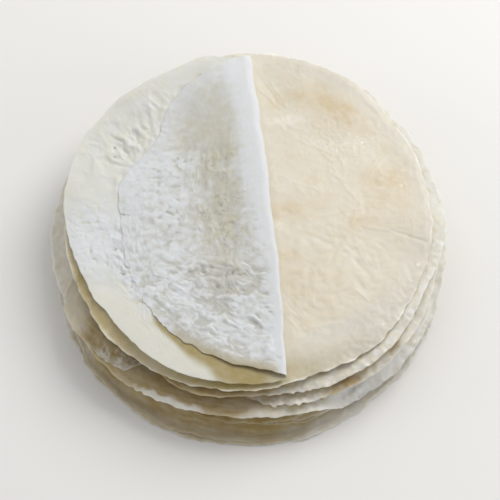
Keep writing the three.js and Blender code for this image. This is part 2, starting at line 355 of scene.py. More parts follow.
def ring_grid(rings):
    """rings: (share of the radius, points) from the middle out. Gives share, angle and triangles."""
    share, angle, tris, start = [], [], [], 0
    for n, (f, count) in enumerate(rings):
        share.append(np.full(count, f))
        angle.append(np.arange(count) * (2 * np.pi / count))
        if n:
            last = rings[n - 1][1]
            tris.append(stitch(start - last, last, start, count))
        start += count
    return np.concatenate(share), np.concatenate(angle), np.concatenate(tris)


def even_rings(k_max, edge_share, edge_rings):
    rings = [(0.0, 1)] + [(edge_share * k / k_max, 8 * k) for k in range(1, k_max + 1)]
    return rings + [(edge_share + (1 - edge_share) * m / edge_rings, 8 * k_max) for m in range(1, edge_rings + 1)]


def rim_rings(count, inner, edge_rings):
    """Fine only in a band along the rim."""
    rings, n, f = [], count, inner
    while n % 2 == 0 and n > 40:
        rings.append((f, n))
        n //= 2
        f -= 0.045 + 0.9 * (inner - f) * 0.35
    rings.append((max(f, 0.2), n))
    rings.append((0.0, 1))
    rings = rings[::-1]
    return rings + [(inner + (1 - inner) * (m / edge_rings) ** 0.85, count) for m in range(1, edge_rings + 1)]


def make_piece(name, points, tris, maps, uv):
    """points in millimetres; maps: name to one number per point; uv: one pair per point."""
    mesh = bpy.data.meshes.new(name)
    mesh.vertices.add(len(points))
    mesh.vertices.foreach_set("co", (points * 0.001).astype(np.float32).ravel())
    mesh.loops.add(tris.size)
    mesh.loops.foreach_set("vertex_index", tris.astype(np.int32).ravel())
    mesh.polygons.add(len(tris))
    mesh.polygons.foreach_set("loop_start", np.arange(0, tris.size, 3, dtype=np.int32))
    mesh.polygons.foreach_set("loop_total", np.full(len(tris), 3, dtype=np.int32))
    mesh.update(calc_edges=True)
    mesh.polygons.foreach_set("use_smooth", np.ones(len(tris), dtype=bool))
    for key in ("blotch", "powder_and_highlight", "pit", "pale", "amber_shade"):
        attr = mesh.attributes.new(key, "FLOAT", "POINT")
        attr.data.foreach_set("value", np.broadcast_to(np.clip(maps[key], 0, 1), (len(points),)).astype(np.float32))
    layer = mesh.uv_layers.new(name="OFBake")
    layer.uv.foreach_set("vector", uv[tris.ravel()].astype(np.float32).ravel())
    mesh.validate()
    ob = bpy.data.objects.new(name, mesh)
    bpy.context.scene.collection.objects.link(ob)
    return ob


def normals(points, tris):
    """One unit normal per point, from the faces round it."""
    a, b, c = (points[tris[:, k]] for k in range(3))
    face = np.cross(b - a, c - a)
    out = np.stack([sum(np.bincount(tris[:, k], face[:, axis], len(points)) for k in range(3)) for axis in range(3)], 1)
    return out / np.maximum(np.linalg.norm(out, axis=1), 1e-9)[:, None]


def thickness(depth):
    """From the dried rim inwards."""
    return EDGE + (FILM - EDGE) * (1 - np.exp(-np.maximum(depth, 0) / 2.2))


# ---- flat wrappers ----------------------------------------------------------------------
def flat_place(i, share, angle, pole=(0.0, 0.0)):
    cx, cy = WRAPPERS[i][:2]
    r0 = reach(i, angle)
    r = share * r0 + share**6 * ragged(i, angle, r0)
    x, y = r * np.cos(angle) + pole[0] * (1 - share), r * np.sin(angle) + pole[1] * (1 - share)
    depth = (1 - share) * r0 if pole == (0.0, 0.0) else reach(i, np.arctan2(y, x)) - np.hypot(x, y)
    return cx + x, cy + y, depth


def rim_relief(i, x, y, depth):
    """Small curls and wrinkles of a dry rim, and the crumpled stretches."""
    d = np.maximum(depth, 0)
    cx, cy = WRAPPERS[i][:2]
    way = np.arctan2(y - cy, x - cx)
    a, b = np.cos(way) * 105, np.sin(way) * 105
    z = 0.5 * np.exp(-d / 7.0) * noise(x / 9 + i, y / 9, 400 + i) + 0.18 * np.exp(-d / 9.0) * noise(x / 3, y / 3 + i, 420 + i)
    z = z + 0.4 * np.exp(-d / 9.0) * noise(a / 6 + 0.03 * d, b / 6, 410 + i) * smooth(0.3 + noise(a / 22, b / 22, 415 + i))
    if i == 4:
        far = np.degrees(way)
        z = z + smooth((180 - np.abs(far)) / 12) * np.exp(-d / 16) * (0.55 * noise(far / 13, d / 2.6, 460) + 0.3 * noise(far / 5, d / 1.8 + far / 9, 461))
    if i < LAST:
        e, f = turned(x, y, 38 * (1 if i % 3 else -1))
        fine = 0.34 * ridges(e / 12, f / 3.4, 470 + i, 3) + 0.22 * ridges(a / 10 + d / 5, b / 10 - d / 4, 480 + i, 4)
        z = z + np.exp(-d / 10) * smooth(0.5 + 1.2 * noise(x / 15, y / 15, 490 + i)) * (fine - 0.16)
    if i == LAST:
        z = z + 0.4 * bell(way_off(way, -150), 20) * np.exp(-d / 8) * (noise(np.degrees(way) / 1.6, d / 9, 462) + 0.6 * noise(np.degrees(way) / 0.8, d / 6, 463))
    for k, side, spread, deep in DIPS:
        if k == i:
            z = z - deep * bell(way_off(way, side), spread) * np.exp(-d / 9)
    for k, side, spread, much in CRUMPLES:
        if k == i:
            here = bell(way_off(way, side), spread) * np.exp(-d / 7)
            z = z + much * here * (0.8 * noise(x / 5, y / 5, 430 + i) + 0.5 * noise(x / 2.4, y / 2.4, 440 + i))
    return z


# the wrapper under the fold: long creases as (x0, y0, x1, y1), width, height; dents as x, y, half length, half width, turn, depth
CREASES = [
    ((62, 2, 78, -1), 1.0, 0.15),
    ((76, 0, 97, -9), 0.9, -0.17),
    ((57, 23, 77, 47), 0.8, 0.11),
    ((7, 32, 20, 50), 0.8, 0.09),
    ((29, 56, 53, 44), 0.7, 0.11),
    ((4, 92, 18, 77), 0.8, 0.10),
    ((23, 75, 35, 84), 0.7, 0.09),
    ((50, 31, 62, 15), 0.9, 0.09),
    ((27, -60, 51, -55), 0.9, 0.09),
    ((30, -20, 48, -8), 0.8, 0.08),
    ((40, 8, 66, 14), 0.8, 0.07),
    ((24, 30, 44, 22), 0.8, 0.07),
    ((9, 93, 16, 82), 0.8, -0.16),
    ((12.5, 94, 19, 83), 0.9, 0.12),
    ((45, 36, 54, 29), 0.7, 0.1),
    ((62, 33, 72, 44), 0.7, 0.12),
    ((56, -35.5, 64, -43), 0.7, 0.16),
    ((33, -26.5, 43, -21), 0.8, 0.13),
    ((36, -31, 45, -28), 0.8, 0.1),
    ((47, -14, 58, -10), 0.8, 0.1),
    ((22, 79, 30, 85), 0.6, -0.12),
    ((33, 57, 46, 43), 0.6, 0.1),
]
DENTS = [(59, -20, 4.0, 1.5, -55, 0.5), (60, -33, 4.4, 1.6, -60, 0.5), (43, -48, 2.6, 1.2, 35, 0.4), (46, -54, 3.2, 1.2, 10, 0.35), (28, -36, 2.8, 1.4, 60, 0.3), (72, -10, 3.0, 1.2, -40, 0.3), (36, 0, 2.6, 1.1, 30, 0.25), (64, 12, 2.4, 1.0, -70, 0.25)]


# painted highlights: small bright glints, as light catching the slightly shiny skin
PAINTED_GLINTS = [(56, 60.3), (60.4, 58.4), (63.1, 54.5), (64.2, 52), (69.7, 57.7), (59.1, 50), (53.8, 51.3), (57.6, 54.5), (51, 52.6), (47.2, 50.7), (66.4, 60.3), (42.5, 49.4), (85.5, 37.2), (83.8, 27.6), (82.7, 34), (18, 3.4), (16, -1.5), (67.7, -57), (71.4, -56.4), (91.3, -22)]


def browned_relief(x, y, depth):
    """The smooth side of the wrapper under the fold: soft waves, a few long creases and leaf-shaped dents."""
    wx = x + 4 * noise(x / 24, y / 24, 501)
    wy = y + 4 * noise(x / 24, y / 24, 502)
    z = 0.5 * noise(x / 40, y / 40, 503) + 0.16 * noise(x / 15, y / 13, 504) + 0.1 * noise(wx / 6, wy / 5, 511)
    mild = smooth(0.35 + 1.2 * noise(x / 19, y / 19, 507))
    z += 0.14 * mild * (ridges(wx / 9, wy / 6.5, 505, 7) + 0.8 * ridges(wx / 6 + wy / 20, wy / 10, 506, 7))
    for ends, width, tall in CREASES:
        on, beside = stroke(x + 0.8 * noise(x / 7, y / 7, 512), y + 0.8 * noise(x / 7, y / 7, 513), ends, width)
        z += 1.5 * tall * on + 0.35 * abs(tall) * beside
    for cx, cy, a, b, turn, deep in DENTS:
        z -= deep * 0.75 * spot(x, y, cx, cy, a, b, turn)
    facet = np.clip(1.3 * spot(x, y, 50, -24, 32, 34), 0, 1)
    z += facet * (0.17 * folds(wx / 8, wy / 7, 514) + 0.09 * noise(wx / 3.4, wy / 3.4, 515))
    fine = spot(x, y, 50, 52, 20, 11, -15) + 0.5 * spot(x, y, 26, 80, 18, 8, -25)
    z += fine * (0.27 * ridges(wx / 3.6, wy / 2.4, 508, 3) - 0.1)
    z = z + 0.03 * noise(x / 2.4, y / 2.4, 509) + 0.35
    return z * smooth((x - FOLD_X + (y - FOLD_Y) * math.tan(FOLD_LEAN) + 2) / 8)


def flat_wrapper(i):
    top = i == LAST
    rings = even_rings(128, 0.97, 5) if top else rim_rings(800, 0.87, 13)
    share, angle, tris = ring_grid(rings)
    count = rings[-1][1]
    x, y, depth = flat_place(i, share, angle, (34.0, -6.0) if top else (0.0, 0.0))
    mid = height(i, x, y) - sag(x, y) - drape(i, np.arctan2(y - WRAPPERS[i][1], x - WRAPPERS[i][0]), depth) + rim_relief(i, x, y, depth) if top else surface(i, x, y)
    up = browned_relief(x, y, depth) * smooth(depth / 4) if top else 0.0
    upper = np.stack([x, y, mid + thickness(depth) / 2 + up], 1)
    # underside: fine near the rim only
    under = rim_rings(count, 0.9, 5)
    ushare, uangle, utris = ring_grid(under)
    ux, uy, udepth = flat_place(i, ushare, uangle)
    umid = height(i, ux, uy) - sag(ux, uy) - drape(i, np.arctan2(uy - WRAPPERS[i][1], ux - WRAPPERS[i][0]), udepth) + rim_relief(i, ux, uy, udepth) if top else surface(i, ux, uy)
    lower = np.stack([ux, uy, umid - thickness(udepth) / 2], 1)
    # rounded lip between the two
    lip_angle = np.arange(count) * (2 * np.pi / count)
    lx, ly, _ = flat_place(i, np.full(count, 1 + EDGE * 0.5 / WRAPPERS[i][2]), lip_angle)
    lip = np.stack([lx, ly, mid[-count:]], 1)
    points = np.concatenate([upper, lip, lower])
    nu, nl = len(upper), count
    rim_top, rim_lip, rim_low = nu - count, nu, len(points) - count
    faces = np.concatenate([tris, stitch(rim_top, count, rim_lip, count), stitch(rim_low, count, rim_lip, count)[:, ::-1], (utris + nu + nl)[:, ::-1]])
    px, py = points[:, 0], points[:, 1]
    inset = np.maximum(np.concatenate([depth, np.zeros(count), udepth]), 0)
    below = np.concatenate([np.zeros(nu + nl), np.ones(len(lower))])
    uv = np.stack([px / 226 + 0.5, py / 226 + 0.5], 1) * 0.98 + 0.01
    uv[nu + nl :] = (uv[nu + nl :] - 0.5) * 0.13 + 0.07
    points[:, 2] = np.maximum(points[:, 2], 0.05)
    maps = browned_maps(px, py, inset, below) if top else cream_maps(i, px, py, inset, below)
    return make_piece("skin_%02d" % (i + 1), points, faces, maps, uv)


def browned_maps(x, y, inset, below):
    n1, n2, n3 = fbm(x / 26, y / 26, 601, 3), fbm(x / 10, y / 10, 602, 3), fbm(x / 4, y / 4, 606, 2)
    blotch = 1.0 * spot(x, y, 50, 77, 22, 10, -38) + 0.85 * spot(x, y, 80, 29, 17, 14, 20) + 0.6 * spot(x, y, 21, 13, 12, 8, 10)
    blotch = blotch + 0.45 * spot(x, y, 30, -38, 22, 16, 30) + 0.5 * spot(x, y, 17, 83, 16, 7, -15) + 0.4 * spot(x, y, 20, -18, 10, 12) + 0.4 * spot(x, y, 58, 5, 16, 8, 0)
    blotch = np.clip(0.12 + blotch * (0.8 + 0.45 * n2) + 0.4 * np.clip(n1, -0.2, 1) + 0.22 * n2 + 0.12 * n3, 0, 1)
    way = np.degrees(np.arctan2(y - 8.6, x))
    width = 6 + 18 * bell(way + 56, 24) + 4 * bell(way + 12, 14) + 3 * bell(way - 60, 26) + 4 * fbm(x / 14, y / 14, 603, 3)
    pale = smooth((width - inset) / 13 + 0.5) * (0.85 + 0.25 * n2)
    veil_and_glint = np.clip(0.5 * fbm(x / 12, y / 12, 604, 3) + 0.3 * noise(x / 4, y / 4, 605), 0, 1) * 0.5
    veil_and_glint = np.maximum(veil_and_glint, 0.5 * spot(x, y, 21, 69, 12, 4, 5) + 0.5 * spot(x, y, 17, 2, 3, 4, 60))
    fine = spot(x, y, 50, 52, 20, 10, -15)
    wx, wy = x + 4 * noise(x / 24, y / 24, 501), y + 4 * noise(x / 24, y / 24, 502)
    # painted highlights: bright specks on the crests of the fine wrinkles
    painted_glint = fine * smooth((ridges(wx / 3.6, wy / 2.4, 508, 3) - 0.55) / 0.3) * smooth(0.2 + noise(x / 3, y / 3, 607))
    veil_and_glint = np.maximum(veil_and_glint, painted_glint)
    for k, (gx, gy) in enumerate(PAINTED_GLINTS):
        veil_and_glint = np.maximum(veil_and_glint, (0.75 + 0.25 * math.sin(7.0 * k)) * spot(x + 0.9 * noise(x / 1.5, y / 1.5, 610), y + 0.9 * noise(x / 1.5, y / 1.5, 611), gx, gy, 1.1, 0.6, 25 + 47 * k % 130 - 65))
    # painted shade: the strip at the front left that lies in the shade of the folded wrapper's edge
    shaded_strip = smooth(1.4 * bell((way % 360 - 360) + 124, 50)) * smooth(1.3 - inset / 16)
    lip = np.exp(-inset / 0.9) * np.clip(0.65 + 0.8 * noise(x / 9, y / 9, 608), 0, 1)
    return {
        "blotch": blotch * (1 - pale),
        "powder_and_highlight": np.maximum((0.1 + 0.75 * veil_and_glint) * (1 - shaded_strip), 0.9 * lip),
        # dark specks in the wrinkled patch: painted shade beside the painted glints
        "pit": 0.08 + 0.2 * fine * smooth(0.3 + noise(x / 2.6, y / 2.6, 609)),
        "pale": pale * (1 - 0.8 * shaded_strip),
        # amber_shade: painted shade on the shaded strip, and on the underside
        "amber_shade": np.maximum((0.86 + 0.14 * smooth((way % 360 - 360 + 130) / 24)) * shaded_strip * (1 - 0.3 * bell(way + 119, 11)) * (1 - 0.85 * np.exp(-inset / 0.8)) * (1 + 0.3 * np.minimum(n2 + 0.5 * n3, 0)), below * (1 - np.exp(-inset / 3))),
    }


def cream_maps(i, x, y, inset, below):
    n1 = fbm(x / 18 + i, y / 18, 620 + i, 3)
    n2 = fbm(x / 6, y / 6 + i, 640 + i, 2)
    cx, cy = WRAPPERS[i][:2]
    way = np.degrees(np.arctan2(y - cy, x - cx))
    along = np.radians(way) * 105
    # the front left, turned away from the light, is painted darker right to the rim, further round lower down: partly
    # damp dough, partly painted shade; the back is dry
    moist_and_shaded = smooth((way + (176 if i == 9 else 168 if i < 6 else 153)) / 18) * smooth(((-64 if i < 8 else -78) - way) / 26) * (0.45 if i < 2 else 1)
    front = bell(way_off(np.radians(way), -100), 78)
    # painted shade in the lens-shaped gaps where the rims at the front right part
    lens = smooth(0.1 + 1.8 * noise(along / 13 + 3.3 * i, inset / 30, 670 + i)) * bell(way + 54, 26)
    dapple = fbm(along / 4.5 + i, inset / 2.4, 675 + i, 3)
    over = covered(i, x, y)
    # painted shade: how far a place lies under the rims above, in the lens-shaped gaps and on the front away from the
    # light; undersides get it too
    shade_mask = smooth((over + 0.5 + 24 * moist_and_shaded + 2.5 * n1 + 5 * lens - 3 * (1 - front)) / 6)
    shade_mask = np.maximum(shade_mask * (1 - below), below * (1 - np.exp(-inset / 1.5)))
    streak = noise(along / 15 + 3 * i, inset / 1.3 + 7 * i, 660 + i)
    dry = 0.0
    for k, side, spread, wide in DRY:
        if k == i:
            dry = np.maximum(dry, smooth(1.6 * bell(way - side + 3 * n1, spread) * smooth(1.25 - inset / wide + 0.4 * n2) - 0.2))
    # how strong the painted shade is on the lower skins; on wrapper 5 deeper further in, as shade under the rim above
    shade_strength = 0.62 + 0.42 * smooth((inset - 1.5) / 6) if i == 4 else 0.74 + 0.2 * smooth((-120 - way) / 15) if i < 4 else 1.0
    # painted shade: darker amber in the hollows just under the rims above
    gap = 0.0
    if i == 10:
        for side, spread, much, far in SHADED_HOLLOWS:
            gap = np.maximum(gap, much * bell(way - side + 2 * n1, spread) * smooth((over + far + 2.5 * n1) / 3) * (1 - below))
    if 8 < i < LAST:
        gap = np.maximum(gap, 0.42 * (1 - 0.85 * bell(way + 52, 5)) * bell(way + 54, 27) * smooth((over + 2.6 + 2 * n1 + n2) / 2.2) * np.clip(0.75 + 0.8 * noise(along / 9 + 2 * i, inset / 12, 668), 0, 1) * (1 - below))
    if i == 4:
        gap = 0.3 * bell(way + 52, 20) * np.clip(0.6 + 0.7 * streak, 0, 1) * (1 - below)
    if i in FILMS:  # stringy
        strand = np.maximum(ridges(along / 9 + inset / 5, inset / 3.4 - along / 16 + 0.5 * n2, 680 + i, 6), ridges(along / 8 - inset / 4, inset / 3.4 + along / 14 + 0.5 * n2, 690 + i, 6)) * smooth(0.75 + 1.3 * noise(along / 5, inset / 4, 695))
        dry = dry * np.clip(1.2 * strand - 0.1 + 0.5 * bell(inset - 1.5, 1.6), 0, 1)
    return {
        # golden under and near the rims above, more at the front: painted warm shade; elsewhere the dough's own tone
        "blotch": np.maximum(0.12 + 0.3 * n1, smooth((over + 4 + 6 * n1) / 5) * (0.2 + 0.8 * front)) * (1 - dry),
        # flour, lighter towards the back partly as painted light on the side facing the lamps; the dry stretch of
        # wrapper 9 is brightened further as painted light
        "powder_and_highlight": 0.32 + 0.45 * (1 - front) + 0.3 * n2 + 0.25 * n1 + (0.7 if i == 8 else 0.35) * dry - 0.3 * shade_mask * front + (0.9 - 0.4 * moist_and_shaded) * dapple,
        "pit": 0.14 + 0.15 * n1 + 0.3 * np.clip(-dapple, 0, 1) * (1 - moist_and_shaded),
        "pale": np.maximum(smooth(1.1 - inset / (3 + 4 * (1 - front))) * (1 - 0.8 * shade_mask * front), dry),
        # painted shade: amber_shade under the rims above and at the front, thinned right at the lip where light comes
        # through the thin rim, plus the painted shade in the gaps
        "amber_shade": shade_mask * (0.4 + 0.54 * moist_and_shaded + (0.34 if i == 4 else 0.26) * streak + 0.3 * lens) * (1 - (0.8 - 0.3 * moist_and_shaded) * np.exp(-inset / 0.8) * np.clip(0.6 + 0.9 * noise(along / 11 + 5 * i, inset / 9, 665), 0, 1)) * (1 - 0.9 * dry) * (0.3 + 0.65 * smooth((way + 151 + 5 * n1) / 8) if i == 9 else 0.12 + 0.88 * front ** (1.6 - (0.9 * smooth((-110 - way) / 20) if i < 6 else 0))) * shade_strength + gap,
    }


# ---- the folded wrapper -----------------------------------------------------------------
def top_outline(angle):
    return (
        TOP_R
        - FLAP_SHORT * np.maximum(0, np.cos(angle)) ** 2
        - FLAP_DENT[0] * bell(way_off(angle, FLAP_DENT[1]), FLAP_DENT[2])
        - LEFT_FLAT[0] * bell(way_off(angle, LEFT_FLAT[1]), LEFT_FLAT[2])
        + sum(far * bell(way_off(angle, side), spread) for far, side, spread in REACHES)
        + FLAP_CORNER[0] * bell(way_off(angle, FLAP_CORNER[1]), FLAP_CORNER[2])
    )


def fold_radius(v):
    return FOLD_R_FRONT + (FOLD_R_BACK - FOLD_R_FRONT) * smooth((v + TOP_R) / (2 * TOP_R))


def fold_plan(u, v):
    """Where a place of the flat wrapper comes to lie, seen from above, and how high over the half below."""
    r = fold_radius(v)
    q = np.pi / 2 * r
    s = np.maximum(0, u - q)
    a = np.clip(u / r, -np.pi / 2, np.pi / 2)
    p = np.where(u < -q, u + q - r, np.where(u > q, -r - s, r * np.cos(a) - r))
    run = FLAP_RUN + (FLAP_RUN_FRONT - FLAP_RUN) * smooth((-40 - v) / 40)
    flap = FLAP_REST + (2 * r - FLAP_REST) * (1 - smooth(s / run)) + FLAP_LIFT * bell(v + TOP_R, 16) * bell(s - 16, 22)
    z = np.where(u < -q, 0, np.where(u > q, flap, r + r * np.sin(a)))
    p = p + FOLD_BOW * (1 - (v / TOP_R) ** 2) * np.maximum(0, 1 + p / TOP_R)
    p = p + (0.9 * noise(v / 19, 0 * v + 0.37, 790) + 0.35 * noise(v / 7, 0 * v + 0.61, 791)) * bell(p, 16)  # not ruler-straight
    x = FOLD_X + p * math.cos(FOLD_LEAN) - v * math.sin(FOLD_LEAN)
    y = FOLD_Y + p * math.sin(FOLD_LEAN) + v * math.cos(FOLD_LEAN)
    return x, y, z, s


def flap_look(x, y, s, depth):
    """Relief and colour of the turned-over side: floury, crumpled across at the front, blistered beside the roll, smooth at the back."""
    roll = s + 3 * noise(x / 9, y / 12, 762) - 2 - 5 * smooth((y + 30) / 50)
    free = smooth((roll + 3) / 8)  # the roll itself stays smooth
    low = smooth((-14 - y + 6 * noise(x / 14, y / 14, 725)) / 16)
    back = smooth((y - 40 + 6 * noise(x / 12, y / 12, 726)) / 14)
    mid = (1 - low) * (1 - back)
    vx, vy = x + 5 * noise(x / 13, y / 13, 764), y + 5 * noise(x / 13, y / 13, 765)
    valley = np.clip(1.2 * spot(vx, vy, -14, 9, 15, 38, 5) + 0.6 * spot(vx, vy, -18, 48, 12, 14), 0, 1)
    dense = spot(x, y, -8, 4, 10, 26, 5)
    wx = x + 2.4 * noise(x / 9, y / 9, 701) + 0.5 * noise(x / 3.4, y / 3.4, 717)
    wy = y + 2.4 * noise(x / 9, y / 9, 702) + 0.5 * noise(x / 3.4, y / 3.4, 718)
    # beside the roll: upright crumples
    band = smooth(0.5 + 1.1 * noise(x / 6, y / 14, 724))
    crumple = 1.1 * band * ridges(wx / 4.4, wy / 11, 704, 2.2) + 0.6 * smooth(0.5 + noise(x / 5, y / 5, 723)) * ridges(wx / 2.4, wy / 5, 705, 2.5) - 0.65
    # plateau: almost flat, with soft little hollows
    hollow = smooth((noise(x / 4.6, y / 3.4, 760) + 0.5 * noise(x / 2.4, y / 2, 782) + 0.4 * noise(x / 9, y / 7, 781) - 0.15) / 0.7) * smooth(0.3 + 1.6 * noise(x / 12, y / 12, 761))
    soft = 0.35 * noise(wx / 13, wy / 10, 708) + 0.14 * noise(wx / 5, wy / 4, 709) + 0.25 * smooth(0.4 + noise(x / 7, y / 7, 711)) * ridges(wx / 7, wy / 4, 710, 3) - 0.55 * hollow
    # front: long wrinkles lying across
    a, b = turned(wx, wy, -12)
    long = smooth(0.5 + 1.1 * noise(a / 18, b / 7, 728))
    lows = 0.75 * long * ridges(a / 13, b / 4.4, 712, 2.4) + 0.55 * smooth(0.45 + noise(a / 9, b / 5, 729)) * ridges(a / 6.5, b / 2.4, 713, 2.2) + 0.3 * smooth(0.5 + noise(x / 6, y / 6, 771)) * ridges(a / 3.6, b / 1.9, 772, 1.6) + 0.2 * folds(a / 4.6, b / 2.8, 776) + 0.35 * noise(a / 20, b / 9, 714) - 0.58
    quiet = smooth(0.35 + 1.5 * noise(x / 15, y / 9, 779) + 0.7 * noise(x / 6, y / 5, 780))  # smooth places between
    quiet = np.maximum(quiet, spot(x, y, -14, -30, 17, 22))
    lows = lows * (0.6 + 0.6 * quiet)
    hem = smooth(depth / 14)  # calmer towards the front edge
    backs = 0.35 * noise(x / 16 + y / 60, y / 40, 715) + 0.06 * noise(x / 5, y / 12, 716)
    z = mid * (valley * (crumple - 0.5) + (1 - valley) * soft) + low * 1.3 * lows * (0.35 + 0.65 * hem) + back * backs
    a, b = turned(wx, wy, 28)
    z = z + 0.6 * noise(a / 13, b / 3.2, 719) * spot(x, y, -43, 47, 18, 10, 28)
    # a shallow dent, a slanting crease, and broken creases along the left edge
    z = z - 0.6 * spot(wx, wy, -47, -4, 9, 5, 0) - 0.5 * spot(x, y, -67, 8.5, 4, 1.9, -12)
    on, _ = stroke(wx, wy, (-50, -14, -23, -31), 1.3)
    z = z + 0.4 * on
    beside = smooth((-26 - x) / 12) * smooth((14 - y) / 16) * bell(depth - 6, 6)
    c, _ = turned(x, y, -63)
    d = depth + 2.2 * noise(x / 9, y / 9, 720) + 0.8 * noise(x / 3.5, y / 3.5, 727)
    crease = ridges(c / 11 + 0.1 * d, d / 4.2, 773, 4) * smooth(0.55 + noise(x / 8, y / 8, 721))
    z = z + beside * (0.75 * crease + 0.3 * ridges(c / 5, d / 2.2, 774, 2.5) - 0.35)
    # painted shade: greyer and darker in the grooves, partly flour lying only on the crests
    grooves = smooth((0.22 - crease) / 0.2) * smooth(0.35 + noise(x / 5, y / 5, 775))
    groove = smooth((-0.2 - lows) / 0.3)
    pit = mid * ((1 - valley) * (0.1 + 0.14 * hollow) + valley * (0.27 + 0.13 * band) + 0.1 * dense) + back * 0.02
    pit = pit + low * (0.16 + (0.14 + 0.3 * spot(x, y, -12, -25, 22, 14)) * groove) * (0.3 + 0.7 * hem)
    pit = pit + 0.25 * beside * grooves + 0.35 * spot(x, y, -48, -9, 2.4) + 0.2 * spot(wx, wy, -46, -4, 9, 5) + 0.45 * spot(x, y, -67, 8.5, 4, 1.9, -12)
    cloud = (0.36 * noise(x / 4.2, y / 3.4, 763) + 0.16 * noise(x / 10, y / 10, 722) + 0.2 * noise(x / 2.2, y / 1.8, 778)) * (1 - 0.6 * valley) * (1 - 0.75 * back)
    streaky = 0.95 + 0.55 * band * np.abs(noise(wx / 4.4, wy / 11, 704)) - 0.2 * band + 0.4 * noise(wx / 2.1, wy / 7, 770)
    # the valley beside the roll is painted grey-olive, partly its blistered dough with less flour, partly painted shade
    # of its slope away from the light; hollows and grooves are greyer, partly painted shade
    white = 0.76 + cloud - 0.62 * valley * streaky - back * (1 - valley) * (0.34 - 0.3 * smooth((12 - s) / 16))
    white = white - 0.85 * mid * (1 - valley) * hollow - 0.3 * spot(wx, wy, -47, -4, 10, 6) - 0.4 * beside * grooves
    white = white - low * (1.0 * groove + 0.2 * spot(x, y, -12, -25, 20, 14)) * (0.4 + 0.6 * hem)
    white = white - 0.3 * smooth((-56 - y) / 14) * smooth((14 - depth) / 14)
    # painted highlight: the roll is painted near white where it catches the light, partly its flour
    lit = 1 - smooth((roll + 5) / 13)
    white = white * (1 - lit) + 0.92 * lit
    return free * z, free * pit, white, np.maximum(valley, back)


# ridges and grooves of the lumpy part, as (x0, y0, x1, y1), width, height
LUMPS = [
    ((-71.4, 56.9, -59, 48.6), 1.7, 0.9),
    ((-63.2, 62.7, -54.7, 56.9), 1.5, 0.8),
    ((-56.4, 82.2, -51.4, 58.2), 1.5, 0.6),
    ((-70.2, 54.3, -67.2, 45.4), 1.3, -0.8),
    ((-64.8, 61.4, -60.2, 53.0), 1.3, -0.7),
    ((-84.0, 46.0, -86.0, 31.0), 2.4, 0.5),
    ((-78.0, 52.0, -70.0, 41.0), 1.6, 0.5),
]


def left_look(x, y):
    """The half left below: lumpy at the back, floury at the left, calm at the front."""
    wrinkled = smooth((y - 12) / 24)
    floury = np.clip(1.3 * spot(x, y, -82, -8, 20, 22, 0), 0, 1)
    calm = smooth((-30 - y) / 16)
    wx = x + 3.0 * noise(x / 12, y / 12, 731) + 0.8 * noise(x / 4, y / 4, 748)
    wy = y + 3.0 * noise(x / 12, y / 12, 732) + 0.8 * noise(x / 4, y / 4, 749)
    strong = np.clip(1.2 * spot(x, y, -67, 50, 17, 15, 20) + 0.8 * spot(x, y, -52, 72, 10, 16, 0), 0, 1)
    some = smooth(0.55 + 1.1 * noise(x / 8, y / 8, 733))
    a, b = turned(wx, wy, -43)
    creased = (0.35 + 0.65 * some) * ridges(a / 13, b / 5.5, 735, 1.8) + 0.3 * ridges(a / 6, b / 3, 736, 2)
    lumps = 0.4 * noise(wx / 15, wy / 12, 734) + strong * (1.6 * creased - 0.8 + 0.35 * fbm(wx / 4, wy / 3.4, 759, 2)) + (1 - strong) * 0.4 * noise(wx / 18, wy / 6, 741)
    for ends, width, tall in LUMPS:
        on, _ = stroke(x + 1.6 * noise(x / 5, y / 5, 755), y + 1.6 * noise(x / 5, y / 5, 756), ends, width, 0.25)
        lumps = lumps + 1.25 * tall * on
    # painted shade: golden and darker in the seams between the lumps, partly flour lying only on the crests
    seam_shade = smooth((0.42 - creased) / 0.3) * some
    z = wrinkled * lumps + 0.3 * noise(x / 26, y / 26, 737) * (1 - 0.7 * calm)
    dimple = smooth((noise(x / 3.0, y / 2.2, 750) - 0.16) / 0.4) * smooth(0.55 + 1.2 * noise(x / 9, y / 7, 753))
    z = z + floury * (0.45 * noise(wx / 8, wy / 5, 738) + 0.5 * some * ridges(wx / 6, wy / 3.4, 739, 2.5) - 0.2 - 0.5 * dimple)
    # a crumpled fringe along the flap
    fringe = np.clip(1.5 * spot(x, y, -61.5, -31, 6.0, 24, 25), 0, 1)
    c, e = turned(wx, wy, -63)
    torn = (0.4 + 0.6 * some) * ridges(c / 9, e / 3.2, 740, 2.2)
    z = z + fringe * (1.7 * torn + 0.6 * ridges(c / 4, e / 2, 758, 2) - 0.75)
    soft = (1 - wrinkled) * (1 - floury) * (1 - calm)
    z = z + soft * 0.3 * noise(wx / 14, wy / 6, 742) + calm * 0.12 * noise(x / 14, y / 10, 743)
    # darker and less floury in the fringe's grooves: partly painted shade in the creases
    pit = 0.08 + floury * (0.1 + 0.3 * dimple) + fringe * (0.1 + 0.34 * smooth((0.35 - torn) / 0.3)) + strong * 0.2 * seam_shade + 0.5 * spot(x, y, -74, 50.5, 1.6, 2.2) + 0.45 * spot(x, y, -73.8, 44.7, 1.3, 1.5) + 0.3 * spot(x, y, -66, 50, 1.4, 3.0, 20)
    white = 0.3 + 0.6 * floury * (1 - 0.8 * dimple) + 0.2 * noise(x / 9, y / 9, 746) + fringe * (0.5 - 0.5 * smooth((0.35 - torn) / 0.3)) - strong * 0.1 * seam_shade + 0.1 * wrinkled - 0.2 * calm
    gold = 0.03 + 0.07 * wrinkled + 0.3 * strong * seam_shade + 0.18 * noise(x / 14, y / 14, 747) + 0.1 * calm
    return z, pit, white, gold * (1 - floury)


